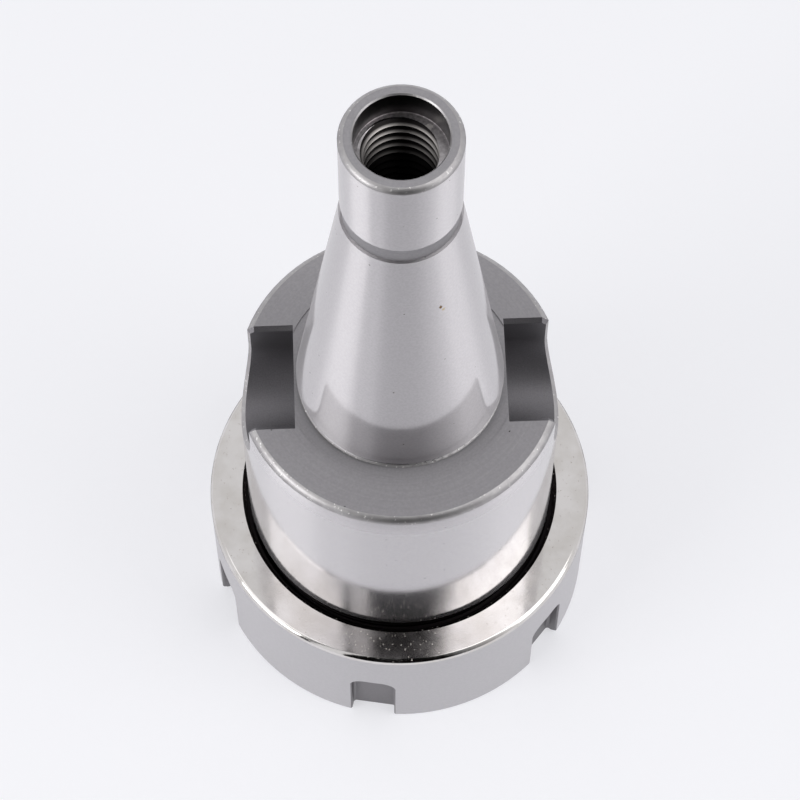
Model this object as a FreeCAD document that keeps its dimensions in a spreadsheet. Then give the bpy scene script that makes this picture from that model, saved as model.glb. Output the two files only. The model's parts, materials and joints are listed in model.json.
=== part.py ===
import FreeCAD, Part
import math
import os
import re

import Sketcher

# Collet chuck with a 7:24 spindle taper, size 30, for collets up to 41 mm across.
# Frame: millimetres, +Z up the spindle axis towards the drawbar, origin on that axis in the
# plane of the clamping nut's front face, which is the face that the chuck stands on.
# The two drive slots lie on the X axis.
#
# Three pieces:
#   chuck_body    one turned, milled and ground piece: collet seat, flange, taper and pilot
#   collet        slit sleeve that closes on a round shank as it is pushed into the seat
#   clamping_nut  screws onto the body and pushes the collet home through its front cone
# Thread ridges are left off: each threaded wall is a plain cylinder at the ridge's root.

doc = FreeCAD.newDocument("collet_chuck")

SIZES = (
    # chuck body, heights from its front face
    ("body_face_height", "14.6", "front face of the body above the nut's face"),
    ("body_dia", "50", "body and flange"),
    ("nut_thread_root", "48.2", "root of the external nut thread"),
    ("nut_thread_run", "8.3", "length of the external nut thread"),
    ("nut_thread_lead", "0.8", "chamfer where the nut is started"),
    ("relief_dia", "47.2", "undercut behind the thread"),
    ("relief_width", "3", "undercut behind the thread"),
    ("shoulder_break", "0.3", "broken edge of the body above the undercut"),
    ("flange_rise", "52.4", "front face to flange face"),
    ("flange_chamfer", "1", "chamfer round the flange face"),
    ("facing_dia", "36", "shallow facing step round the taper"),
    ("facing_depth", "0.15", "shallow facing step round the taper"),
    ("neck_dia", "30.8", "relief at the foot of the taper"),
    ("neck_height", "1.2", "relief at the foot of the taper"),
    ("neck_radius", "0.5", "root radius of that relief"),
    ("gauge_dia", "31.75", "taper at its gauge plane"),
    ("gauge_rise", "1.6", "gauge plane above the flange face"),
    ("taper_on_dia", "0.2916667", "7 in 24"),
    ("taper_end_rise", "50.9", "small end of the taper above the flange face"),
    ("undercut_dia", "16.5", "grinding undercut above the taper"),
    ("pilot_dia", "17.06", "pilot"),
    ("pilot_foot_rise", "54.2", "lower edge of the pilot above the flange face"),
    ("pilot_top_rise", "70", "top face above the flange face"),
    ("pilot_chamfer", "0.75", "chamfer round the top face"),
    ("counterbore_dia", "13", "drawbar hole at its mouth"),
    ("counterbore_depth", "4.5", "drawbar hole at its mouth"),
    ("counterbore_break", "0.2", "broken edge of the mouth"),
    ("drawbar_dia", "12", "root of the drawbar thread"),
    ("drawbar_depth", "34.5", "end of that thread below the top face"),
    ("tap_drill_dia", "10.2", "drilled through to the collet chamber"),
    ("drill_half_angle", "59", "point of a twist drill"),
    ("seat_dia", "40", "collet seat at the front face"),
    ("seat_half_angle", "8", "collet seat"),
    ("seat_depth", "34", "collet seat"),
    ("chamber_dia", "25", "clearance behind the seat"),
    ("chamber_depth", "43.4", "clearance behind the seat, to the drill point"),
    ("key_count", "2", "drive slots"),
    ("key_width", "16.4", "drive slot"),
    ("key_floor", "16.3", "slot floor to the axis"),
    ("key_straight", "5.5", "straight part of the slot below the flange face"),
    ("key_break", "0.65", "broken edges of the slot"),
    # collet, heights from its front face
    ("collet_face_height", "0.6", "collet face above the nut's face"),
    ("collet_length", "46", "whole collet"),
    ("collet_front_dia", "32.8", "front edge of the front cone"),
    ("collet_front_break", "0.3", "straight lip below the front cone"),
    ("front_half_angle", "30", "front cone of the collet and the nut"),
    ("collet_land_dia", "40.5", "land between the front cone and the groove"),
    ("groove_foot", "8.2", "lower side of the extraction groove"),
    ("groove_top", "10.6", "upper side of the extraction groove at its floor"),
    ("groove_dia", "37", "floor of the extraction groove"),
    ("collet_cone_foot", "12.2", "start of the long cone"),
    ("collet_clearance", "0.03", "radial gap from the collet to its seat and cone"),
    ("collet_back_break", "0.8", "broken edge at the small end"),
    ("tool_dia", "20", "bore for the tool shank"),
    ("tool_break", "0.4", "broken edges of the tool bore"),
    ("slit_count", "8", "slits from each end"),
    ("slit_width", "1.2", "every slit"),
    ("slit_depth", "36", "every slit, from the end that it starts at"),
    # clamping nut, heights from its front face
    ("nut_dia", "63", "outside"),
    ("nut_height", "24.8", "whole nut"),
    ("nut_face_break", "0.6", "outer edge of the front face"),
    ("nut_back_break", "0.8", "outer edge of the rear face"),
    ("nut_opening_dia", "34.4", "hole in the front face"),
    ("nut_opening_break", "0.5", "edge of that hole"),
    ("nut_recess_dia", "41.5", "clearance round the collet's land"),
    ("lip_foot", "9.3", "extraction lip"),
    ("lip_top", "11.2", "extraction lip"),
    ("lip_dia", "38.8", "extraction lip where it is widest"),
    ("lip_bore_dia", "41.4", "bore that clears the lip on one side"),
    ("lip_offset", "1.3", "how far that bore is off the axis"),
    ("nut_floor_dia", "47.6", "floor between the lip and the thread"),
    ("nut_bore_dia", "50.04", "root of the internal nut thread"),
    ("mouth_dia", "51.3", "rear mouth, which clears the body"),
    ("mouth_depth", "1.9", "rear mouth"),
    ("mouth_break", "0.5", "edge of the rear mouth"),
    ("spanner_count", "6", "spanner slots"),
    ("spanner_width", "7.1", "spanner slot"),
    ("spanner_height", "14.6", "spanner slot, up from the front face"),
    ("spanner_corner", "2.6", "rounded top corners of the slot"),
    ("spanner_floor", "29.45", "slot floor to the axis"),
    ("spanner_round", "0.35", "rounded outer edges of the slot"),
    ("spanner_root", "0.5", "radius between the slot's floor and its walls"),
    ("nut_turned", "19.8", "turn of the nut, from a slot on the X axis"),
)

sheet = doc.addObject("Spreadsheet::Sheet", "Sizes")
for row, (alias, number, note) in enumerate(SIZES, start=1):
    sheet.set(f"A{row}", alias)
    sheet.set(f"B{row}", number)
    sheet.set(f"C{row}", note)
    sheet.setAlias(f"B{row}", alias)
doc.recompute()

# A cutting sketch runs this far past the surface that it opens.
OVERRUN = 2.0

# Two places this near to each other are the same place.
FUZZ = 0.001

# A cut that takes away less than this, in cubic millimetres, has missed.
LEAST_CUT = 1.0


def sized(formula):
    """The formula with each bare alias written as the sheet's cell."""
    aliases = {alias for alias, _, _ in SIZES}

    def cell(match):
        word = match.group()
        return "Sizes." + word if word in aliases else word

    return re.sub(r"[a-z][a-z_]*", cell, formula)


def worth(formula):
    """What a formula comes to, in millimetres or degrees."""
    value = sheet.evalExpression(sized(formula))
    return float(getattr(value, "Value", value))


def new_body(name):
    body = doc.addObject("PartDesign::Body", name)
    body.Label = name
    return body


def new_sketch(body, name, role, lift=None):
    """A sketch on one of the body's own origin planes, lifted along its normal."""
    plane = next(f for f in body.Origin.OriginFeatures if f.Role == role)
    sketch = body.newObject("Sketcher::SketchObject", name)
    sketch.AttachmentSupport = [(plane, "")]
    sketch.MapMode = "FlatFace"
    if lift:
        sketch.setExpression("AttachmentOffset.Base.z", sized(lift))
    return sketch


def hold(sketch, kind, geometry, end, formula):
    """Hold one coordinate of a point at a distance from the sketch's origin."""
    value = worth(formula)
    axis = -2 if kind == "DistanceX" else -1
    if abs(value) < 1e-9:
        sketch.addConstraint(Sketcher.Constraint("PointOnObject", geometry, end, axis))
        return
    if value > 0:
        ends = (-1, 1, geometry, end)
    else:
        ends = (geometry, end, -1, 1)
        formula = f"-({formula})"
    index = sketch.addConstraint(Sketcher.Constraint(kind, *ends, abs(value)))
    sketch.setExpression(f"Constraints[{index}]", sized(formula))


def outline(sketch, corners, arcs=None):
    """A closed outline through corners, each a pair of formulas.

    arcs gives, for the stretch after a corner's index, the arc's centre as a pair of formulas
    and "X" or "Y", the coordinate of the centre that the two ends leave free.
    """
    arcs = arcs or {}
    points = [FreeCAD.Vector(worth(x), worth(y), 0) for x, y in corners]
    ends = []
    for i, start in enumerate(points):
        stop = points[(i + 1) % len(points)]
        if i not in arcs:
            ends.append((sketch.addGeometry(Part.LineSegment(start, stop)), 1, 2))
            continue
        (x, y), _ = arcs[i]
        centre = FreeCAD.Vector(worth(x), worth(y), 0)
        first = math.atan2(start.y - centre.y, start.x - centre.x)
        last = math.atan2(stop.y - centre.y, stop.x - centre.x)
        circle = Part.Circle(centre, FreeCAD.Vector(0, 0, 1), (start - centre).Length)
        leftward = (last - first) % (2 * math.pi) <= math.pi + 1e-6
        if leftward:
            index = sketch.addGeometry(Part.ArcOfCircle(circle, first, last))
            ends.append((index, 1, 2))
        else:
            index = sketch.addGeometry(Part.ArcOfCircle(circle, last, first))
            ends.append((index, 2, 1))
    for i, (x, y) in enumerate(corners):
        geometry, start, _ = ends[i]
        before, _, stop = ends[i - 1]
        join = Sketcher.Constraint("Coincident", before, stop, geometry, start)
        sketch.addConstraint(join)
        hold(sketch, "DistanceX", geometry, start, x)
        hold(sketch, "DistanceY", geometry, start, y)
    for i, ((x, y), free) in arcs.items():
        hold(sketch, f"Distance{free}", ends[i][0], 3, x if free == "X" else y)


def turn(body, name, sketch):
    """Revolve a half section round the sketch's upright axis."""
    feature = body.newObject("PartDesign::Revolution", name)
    feature.Profile = sketch
    feature.ReferenceAxis = (sketch, ["V_Axis"])
    feature.Angle = 360
    doc.recompute()
    return feature


def cut(body, kind, name, sketch, **settings):
    """A pocket or groove, which has to take material away."""
    before = body.Shape.Volume
    feature = body.newObject(kind, name)
    feature.Profile = sketch
    for setting, value in settings.items():
        setattr(feature, setting, value)
    doc.recompute()
    if not before - feature.Shape.Volume > LEAST_CUT:
        raise RuntimeError(f"{name} cuts nothing")
    return feature


def bore(body, name, sketch):
    """Turn a half section away round the sketch's upright axis."""
    upright = (sketch, ["V_Axis"])
    return cut(body, "PartDesign::Groove", name, sketch, ReferenceAxis=upright, Angle=360)


def pocket(body, name, sketch, depth, onwards=False):
    """A pocket against the sketch's normal, or with onwards set along it."""
    feature = cut(body, "PartDesign::Pocket", name, sketch, Length=worth(depth), Reversed=onwards)
    feature.setExpression("Length", sized(depth))
    return feature


def around(body, name, feature, count):
    """Copies of a feature, evenly spaced round the body's Z axis."""
    before = body.Shape.Volume
    axis = next(f for f in body.Origin.OriginFeatures if f.Role == "Z_Axis")
    pattern = body.newObject("PartDesign::PolarPattern", name)
    pattern.Originals = [feature]
    pattern.Axis = (axis, [""])
    pattern.Angle = 360
    pattern.setExpression("Occurrences", sized(count))
    body.Tip = pattern
    doc.recompute()
    if not before - pattern.Shape.Volume > LEAST_CUT:
        raise RuntimeError(f"{name} repeats nothing")
    return pattern


def edges_where(shape, test):
    """The names of the edges for which test(middle, ends) holds."""
    names = []
    for number, edge in enumerate(shape.Edges, start=1):
        middle = edge.valueAt((edge.FirstParameter + edge.LastParameter) / 2)
        ends = [vertex.Point for vertex in edge.Vertexes]
        if test(middle, ends):
            names.append(f"Edge{number}")
    return names


def dress(body, kind, name, base, edges, size_name, formula):
    """A chamfer or fillet on some edges of the base feature."""
    feature = body.newObject(kind, name)
    feature.Base = (base, edges)
    feature.setExpression(size_name, sized(formula))
    doc.recompute()
    return feature


def make_chuck_body():
    """Heights are from the front face, where the collet goes in."""
    body = new_body("chuck_body")

    # Outside, from the front face up to the pilot's top face.
    thread_top = "nut_thread_run"
    shoulder = "nut_thread_run + relief_width"
    neck = "neck_dia / 2"
    facing = "flange_rise - facing_depth"
    taper_foot = "flange_rise + neck_height"
    foot_radius = "gauge_dia / 2 + (gauge_rise - neck_height) * taper_on_dia / 2"
    end_radius = "gauge_dia / 2 - (taper_end_rise - gauge_rise) * taper_on_dia / 2"
    pilot_foot = "flange_rise + pilot_foot_rise"
    top = "flange_rise + pilot_top_rise"
    corners = (
        ("0", "0"),
        ("nut_thread_root / 2 - nut_thread_lead", "0"),
        ("nut_thread_root / 2", "nut_thread_lead"),
        ("nut_thread_root / 2", thread_top),
        ("relief_dia / 2", thread_top),
        ("relief_dia / 2", shoulder),
        ("body_dia / 2 - shoulder_break", shoulder),
        ("body_dia / 2", shoulder + " + shoulder_break"),
        ("body_dia / 2", "flange_rise - flange_chamfer"),
        ("body_dia / 2 - flange_chamfer", "flange_rise"),
        ("facing_dia / 2", "flange_rise"),
        ("facing_dia / 2", facing),
        (neck + " + neck_radius", facing),
        (neck, facing + " + neck_radius"),
        (neck, taper_foot),
        (foot_radius, taper_foot),
        (end_radius, "flange_rise + taper_end_rise"),
        ("undercut_dia / 2", "flange_rise + taper_end_rise"),
        ("undercut_dia / 2", pilot_foot),
        ("pilot_dia / 2", pilot_foot),
        ("pilot_dia / 2", top + " - pilot_chamfer"),
        ("pilot_dia / 2 - pilot_chamfer", top),
        ("0", top),
    )
    root = (neck + " + neck_radius", facing + " + neck_radius")
    outside = new_sketch(body, "outside", "XZ_Plane")
    outline(outside, corners, {12: (root, "X")})
    turn(body, "turned_outside", outside)

    # Inside: collet seat, chamber, drilled hole, drawbar thread and counterbore.
    seat_end = "seat_dia / 2 - seat_depth * tan(seat_half_angle)"
    point = "chamber_depth + (chamber_dia - tap_drill_dia) / 2 / tan(drill_half_angle)"
    thread_end = top + " - drawbar_depth"
    mouth = "counterbore_dia / 2"
    corners = (
        ("0", "0"),
        ("seat_dia / 2", "0"),
        (seat_end, "seat_depth"),
        ("chamber_dia / 2", "seat_depth"),
        ("chamber_dia / 2", "chamber_depth"),
        ("tap_drill_dia / 2", point),
        ("tap_drill_dia / 2", thread_end),
        ("drawbar_dia / 2", thread_end),
        ("drawbar_dia / 2", top + " - counterbore_depth"),
        (mouth, top + " - counterbore_depth"),
        (mouth, top + " - counterbore_break"),
        (mouth + " + counterbore_break", top),
        ("0", top),
    )
    inside = new_sketch(body, "inside", "XZ_Plane")
    outline(inside, corners)
    bore(body, "bored_inside", inside)

    # Drive slots: cut by an end mill fed down from the flange face, so each has a round foot.
    half = "key_width / 2"
    foot = "flange_rise - key_straight"
    over = f"flange_rise + {OVERRUN}"
    corners = (
        ("-" + half, over),
        ("-" + half, foot),
        (half, foot),
        (half, over),
    )
    slot = new_sketch(body, "drive_slot_outline", "YZ_Plane", "key_floor")
    outline(slot, corners, {1: (("0", foot), "Y")})
    reach = f"body_dia / 2 - key_floor + {OVERRUN}"
    milled = pocket(body, "drive_slot", slot, reach, onwards=True)
    slots = around(body, "drive_slots", milled, "key_count")

    # Every sharp outer edge of the slots is broken, but not the edges of the floor.
    floor = worth("key_floor")
    lowest = worth(f"{foot} - {half}")

    def outer(middle, ends):
        across = abs(middle.y) < worth(half) + FUZZ
        off_floor = any(abs(end.x) > floor + FUZZ for end in ends)
        return across and off_floor and middle.z > lowest - FUZZ

    edges = edges_where(slots.Shape, outer)
    dress(body, "PartDesign::Chamfer", "drive_slot_breaks", slots, edges, "Size", "key_break")

    body.setExpression("Placement.Base.z", sized("body_face_height"))
    return body


def make_collet():
    """Heights are from the front face. The long cone lies in the body's seat."""
    body = new_body("collet")
    rise = "body_face_height - collet_face_height - collet_cone_foot"
    cone_radius = f"seat_dia / 2 + ({rise}) * tan(seat_half_angle) - collet_clearance"
    length = "collet_length - collet_cone_foot"
    end_radius = f"{cone_radius} - ({length}) * tan(seat_half_angle)"
    cone_height = "(collet_land_dia - collet_front_dia) / 2 / tan(front_half_angle)"
    corners = (
        ("tool_dia / 2 + tool_break", "0"),
        ("collet_front_dia / 2", "0"),
        ("collet_front_dia / 2", "collet_front_break"),
        ("collet_land_dia / 2", "collet_front_break + " + cone_height),
        ("collet_land_dia / 2", "groove_foot"),
        ("groove_dia / 2", "groove_foot"),
        ("groove_dia / 2", "groove_top"),
        (cone_radius, "collet_cone_foot"),
        (
            f"{end_radius} + collet_back_break * tan(seat_half_angle)",
            "collet_length - collet_back_break",
        ),
        (f"{end_radius} - collet_back_break", "collet_length"),
        ("tool_dia / 2 + tool_break", "collet_length"),
        ("tool_dia / 2", "collet_length - tool_break"),
        ("tool_dia / 2", "tool_break"),
    )
    section = new_sketch(body, "section", "XZ_Plane")
    outline(section, corners)
    turn(body, "turned_sleeve", section)

    # Saw slits, from the front and then, halfway between those, from the back.
    inner = f"tool_dia / 2 - {OVERRUN}"
    outer = f"collet_land_dia / 2 + {OVERRUN}"
    half = "slit_width / 2"
    across = ((inner, "-" + half), (outer, "-" + half), (outer, half), (inner, half))
    front = new_sketch(body, "front_slit_outline", "XY_Plane")
    outline(front, across)
    sawn = pocket(body, "front_slit", front, "slit_depth", onwards=True)
    around(body, "front_slits", sawn, "slit_count")
    back = new_sketch(body, "back_slit_outline", "XY_Plane", "collet_length")
    back.setExpression("AttachmentOffset.Rotation.Angle", sized("180 / slit_count"))
    outline(back, across)
    sawn = pocket(body, "back_slit", back, "slit_depth")
    around(body, "back_slits", sawn, "slit_count")

    body.setExpression("Placement.Base.z", sized("collet_face_height"))
    return body


def make_clamping_nut():
    """Heights are from the front face. The first spanner slot is on the nut's own X axis."""
    body = new_body("clamping_nut")
    corners = (
        ("0", "0"),
        ("nut_dia / 2 - nut_face_break", "0"),
        ("nut_dia / 2", "nut_face_break"),
        ("nut_dia / 2", "nut_height - nut_back_break"),
        ("nut_dia / 2 - nut_back_break", "nut_height"),
        ("0", "nut_height"),
    )
    outside = new_sketch(body, "outside", "XZ_Plane")
    outline(outside, corners)
    turn(body, "turned_outside", outside)

    # The front cone stands off the collet's by the clearance.
    cone_edge = "collet_face_height + collet_front_break"
    spread = "collet_front_dia / 2 + collet_clearance"
    cone_foot = f"{cone_edge} + (nut_opening_dia / 2 - ({spread})) / tan(front_half_angle)"
    cone_top = f"{cone_edge} + (nut_recess_dia / 2 - ({spread})) / tan(front_half_angle)"
    lead = "(nut_bore_dia - nut_floor_dia) / 2"
    corners = (
        ("0", "0"),
        ("nut_opening_dia / 2 + nut_opening_break", "0"),
        ("nut_opening_dia / 2", "nut_opening_break"),
        ("nut_opening_dia / 2", cone_foot),
        ("nut_recess_dia / 2", cone_top),
        ("nut_recess_dia / 2", "lip_foot"),
        ("lip_dia / 2", "lip_foot"),
        ("lip_dia / 2", "lip_top"),
        ("nut_floor_dia / 2", "lip_top"),
        ("nut_bore_dia / 2", f"lip_top + {lead}"),
        ("nut_bore_dia / 2", "nut_height - mouth_depth"),
        ("mouth_dia / 2", "nut_height - mouth_depth"),
        ("mouth_dia / 2", "nut_height - mouth_break"),
        ("mouth_dia / 2 + mouth_break", "nut_height"),
        ("0", "nut_height"),
    )
    inside = new_sketch(body, "inside", "XZ_Plane")
    outline(inside, corners)
    bore(body, "bored_inside", inside)

    # An off-centre bore takes the lip away on one side, so that a tilted collet snaps in.
    lip = new_sketch(body, "lip_bore_outline", "XY_Plane", "lip_foot")
    centre = FreeCAD.Vector(worth("lip_offset"), 0, 0)
    ring = Part.Circle(centre, FreeCAD.Vector(0, 0, 1), worth("lip_bore_dia / 2"))
    circle = lip.addGeometry(ring)
    hold(lip, "DistanceX", circle, 3, "lip_offset")
    hold(lip, "DistanceY", circle, 3, "0")
    index = lip.addConstraint(Sketcher.Constraint("Radius", circle, worth("lip_bore_dia / 2")))
    lip.setExpression(f"Constraints[{index}]", sized("lip_bore_dia / 2"))
    pocket(body, "lip_bore", lip, "lip_top - lip_foot", onwards=True)

    # Spanner slots, open at the front face and rounded at the top.
    half = "spanner_width / 2"
    shoulder = "spanner_height - spanner_corner"
    inset = half + " - spanner_corner"
    corners = (
        ("-" + half, f"-{OVERRUN}"),
        (half, f"-{OVERRUN}"),
        (half, shoulder),
        (inset, "spanner_height"),
        (f"-({inset})", "spanner_height"),
        ("-" + half, shoulder),
    )
    slot = new_sketch(body, "spanner_slot_outline", "YZ_Plane", "spanner_floor")
    arcs = {2: ((inset, shoulder), "X"), 4: ((f"-({inset})", shoulder), "X")}
    outline(slot, corners, arcs)
    reach = f"nut_dia / 2 - spanner_floor + {OVERRUN}"
    milled = pocket(body, "spanner_slot", slot, reach, onwards=True)
    slots = around(body, "spanner_slots", milled, "spanner_count")

    # The cutter leaves a radius round each slot's floor, and the outer edges are rounded over.
    floor = worth("spanner_floor")
    floor_corner = math.hypot(floor, worth(half))
    bore_edge = worth("mouth_dia / 2 + mouth_break")
    rim = worth("nut_dia / 2 - nut_face_break - spanner_round")
    slot_top = worth("spanner_height")
    slot_step = 2 * math.pi / worth("spanner_count")

    def off_axis(point):
        return math.hypot(point.x, point.y)

    def off_slot(point):
        """How far a point lies to the side of the nearest slot's middle."""
        angle = math.atan2(point.y, point.x)
        from_middle = angle - slot_step * round(angle / slot_step)
        return off_axis(point) * abs(math.sin(from_middle))

    def at_root(middle, ends):
        """On the edge between a slot's floor and its walls, but not on the front face."""
        inside = all(off_axis(end) < floor_corner + FUZZ for end in ends)
        return inside and off_axis(middle) > bore_edge + FUZZ and middle.z > FUZZ

    def at_rim(middle, ends):
        """On the edge between a slot's walls and the nut's outside."""
        outside = all(off_axis(end) > rim for end in ends)
        beside = off_slot(middle) < worth(half) + FUZZ
        return outside and beside and middle.z < slot_top + FUZZ

    edges = edges_where(slots.Shape, at_root)
    roots = dress(body, "PartDesign::Fillet", "spanner_roots", slots, edges, "Radius", "spanner_root")
    edges = edges_where(roots.Shape, at_rim)
    dress(body, "PartDesign::Fillet", "spanner_rounds", roots, edges, "Radius", "spanner_round")

    body.setExpression("Placement.Rotation.Angle", sized("nut_turned"))
    return body


bodies = [make_chuck_body(), make_collet(), make_clamping_nut()]
doc.recompute()

failed = [o.Name for o in doc.Objects if "Invalid" in o.State or "Error" in o.State]
if failed:
    raise RuntimeError(f"these features failed: {failed}")

os.makedirs("parts", exist_ok=True)
for body in bodies:
    shape = body.Shape
    if shape.isNull() or not shape.isValid() or len(shape.Solids) != 1:
        raise RuntimeError(f"{body.Label} is not one valid solid")
    shape.exportStep(f"parts/{body.Label}.step")
    box = shape.BoundBox
    print(
        f"{body.Label}: {box.XLength:.2f} x {box.YLength:.2f} x {box.ZLength:.2f} mm,"
        f" z {box.ZMin:.2f} to {box.ZMax:.2f}, {shape.Volume / 1000:.2f} cm3"
    )
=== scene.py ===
# %% [markdown]
# # A collet chuck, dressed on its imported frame
#
# A collet chuck holds a round cutting tool in a milling machine. Its long 7:24 taper sits in the
# spindle, a drawbar screws into the thread at the top, two slots in the flange take the spindle's
# drive keys, and the nut at the bottom squeezes a slit collet round the tool.
#
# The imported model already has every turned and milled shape. This lesson gives those shapes their
# real finishes: ground, turned, milled, drilled and polished steel look quite different beside
# each other, though they're all the same grey metal. It then cuts the threads, which are ridges
# that follow a helix, and lights the chuck as a small studio would.

import json
import math

import bmesh
import bpy
import numpy as np
from mathutils import Matrix, Vector


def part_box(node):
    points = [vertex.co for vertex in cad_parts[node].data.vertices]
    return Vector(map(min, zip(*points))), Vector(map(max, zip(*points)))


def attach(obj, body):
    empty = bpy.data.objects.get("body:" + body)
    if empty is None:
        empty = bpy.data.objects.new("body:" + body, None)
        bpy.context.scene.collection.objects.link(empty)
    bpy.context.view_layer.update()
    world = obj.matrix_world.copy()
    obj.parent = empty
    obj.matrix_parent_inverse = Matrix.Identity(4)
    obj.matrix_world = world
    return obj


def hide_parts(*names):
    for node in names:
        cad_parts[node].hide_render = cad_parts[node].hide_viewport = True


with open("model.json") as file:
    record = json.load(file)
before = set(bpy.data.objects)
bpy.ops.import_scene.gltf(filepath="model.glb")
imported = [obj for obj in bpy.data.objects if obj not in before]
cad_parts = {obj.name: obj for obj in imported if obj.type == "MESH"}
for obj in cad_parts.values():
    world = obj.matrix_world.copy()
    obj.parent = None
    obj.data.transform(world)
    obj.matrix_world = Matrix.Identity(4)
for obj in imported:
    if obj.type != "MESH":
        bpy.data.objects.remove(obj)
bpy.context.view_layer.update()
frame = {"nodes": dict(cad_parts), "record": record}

# %% [markdown]
# ## Where things are
#
# Blender works in metres here, and a machinist thinks in millimetres, so every size below is
# written as so many `MM`. Heights and radii that other steps need are read from the frame: the
# record's mounts say where the flange face, the pilot and the drawbar thread are, and each node's
# box says where the nut ends. Nothing has to be fitted afterwards.

# %% Read the main sizes from the frame
MM = 0.001
mounts = {mount["name"]: mount for mount in frame["record"]["mounts"]}


def mount_span(name):
    """The foot and top height of a round mount that runs along the axis."""
    middle = mounts[name]["pos_m"][2]
    half = mounts[name]["dims"]["length_mm"] * MM / 2
    return middle - half, middle + half


flange_z = mounts["flange_face"]["pos_m"][2]
pilot_r = mounts["pilot"]["dims"]["r_mm"] * MM
pilot_foot_z = mount_span("pilot")[0]
drawbar_r = mounts["drawbar_thread"]["dims"]["r_mm"] * MM
drawbar_foot_z, ledge_z = mount_span("drawbar_thread")
body_low, body_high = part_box("chuck_body")
nut_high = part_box("clamping_nut")[1]
body_r = body_high.x
top_z = body_high.z
nut_top_z = nut_high.z
print(f"flange face at {flange_z / MM:.1f} mm, top at {top_z / MM:.1f} mm")
print(f"nut top at {nut_top_z / MM:.1f} mm")

# %% [markdown]
# ## One helper for nodes and one for colours
#
# A material is a tree of nodes. Writing one by hand takes three lines a node: make it, set it,
# link it. `add` does all three, so that a tree reads from top to bottom as a recipe.
#
# Colours are picked in sRGB, as a paint chart or a screen shows them, but Blender mixes light in
# linear values. `linear` turns the one into the other.

# %% Helpers for nodes and colours


def add(tree, kind, inputs=None, **settings):
    """Add a node. Each input is a value, or the socket that it's linked from."""
    node = tree.nodes.new(kind)
    for name, value in settings.items():
        setattr(node, name, value)
    for key, value in (inputs or {}).items():
        socket = node.inputs[key]
        if isinstance(value, bpy.types.NodeSocket):
            tree.links.new(value, socket)
        else:
            socket.default_value = value
    return node


def linear(code):
    """An sRGB hex colour as the linear RGBA that a socket takes."""
    channels = [int(code[i : i + 2], 16) / 255 for i in (1, 3, 5)]
    bent = [c / 12.92 if c <= 0.04045 else ((c + 0.055) / 1.055) ** 2.4 for c in channels]
    return (*bent, 1.0)


print("mid grey in linear light:", [round(c, 3) for c in linear("#808080")[:3]])

# %% [markdown]
# ## Marks that go round the axis
#
# A lathe, a grinder and a polishing belt all leave fine marks that run round the axis. They're
# made here from noise that is stretched: it changes quickly up the axis and outwards, and only
# slowly round it. Going round is described by the point on the unit circle, not by the angle,
# because an angle jumps from 180 to -180 degrees and would leave a seam.
#
# Real grinding marks are a few hundredths of a millimetre apart, which is finer than a picture of
# the whole chuck can show, so they're drawn a little coarser.

# %% Stretched noise and small specks


def start_metal(name, colour, roughness, anisotropy=0.0):
    """A metal material, its shader and its Object coordinates in millimetres."""
    material = bpy.data.materials.new(name)
    material.use_nodes = True
    tree = material.node_tree
    shader = tree.nodes["Principled BSDF"]
    shader.inputs["Metallic"].default_value = 1.0
    shader.inputs["Base Color"].default_value = linear(colour)
    shader.inputs["Roughness"].default_value = roughness
    if anisotropy:
        # The marks run round the axis, so the gloss spreads across them, a quarter turn away.
        around = add(tree, "ShaderNodeTangent", direction_type="RADIAL", axis="Z")
        tree.links.new(around.outputs[0], shader.inputs["Tangent"])
        shader.inputs["Anisotropic"].default_value = anisotropy
        shader.inputs["Anisotropic Rotation"].default_value = 0.25
    place = add(tree, "ShaderNodeTexCoord")
    in_mm = add(
        tree, "ShaderNodeVectorMath", {0: place.outputs["Object"], "Scale": 1 / MM}, operation="SCALE"
    )
    return material, tree, shader, in_mm.outputs[0]


def tool_marks(tree, in_mm, spacing, length=1.5, detail=3.0):
    """Noise in rings round the axis, spacing apart in mm, each changing over length in radians."""
    flat = add(tree, "ShaderNodeVectorMath", {0: in_mm, 1: (1, 1, 0)}, operation="MULTIPLY")
    radius = add(tree, "ShaderNodeVectorMath", {0: flat.outputs[0]}, operation="LENGTH")
    circle = add(tree, "ShaderNodeVectorMath", {0: flat.outputs[0]}, operation="NORMALIZE")
    along = add(tree, "ShaderNodeVectorMath", {0: circle.outputs[0], "Scale": 1 / length}, operation="SCALE")
    rise = add(tree, "ShaderNodeSeparateXYZ", {0: in_mm})
    # The radius counts for more than the height, or a 45 degree chamfer would have no marks.
    step = add(
        tree,
        "ShaderNodeMath",
        {0: radius.outputs["Value"], 1: 1.7, 2: rise.outputs["Z"]},
        operation="MULTIPLY_ADD",
    )
    count = add(tree, "ShaderNodeMath", {0: step.outputs[0], 1: 1 / spacing}, operation="MULTIPLY")
    across = add(tree, "ShaderNodeCombineXYZ", {"Z": count.outputs[0]})
    lay = add(tree, "ShaderNodeVectorMath", {0: along.outputs[0], 1: across.outputs[0]})
    noise = add(tree, "ShaderNodeTexNoise", {"Vector": lay.outputs[0], "Scale": 1.0, "Detail": detail})
    return noise.outputs["Fac"]


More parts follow.
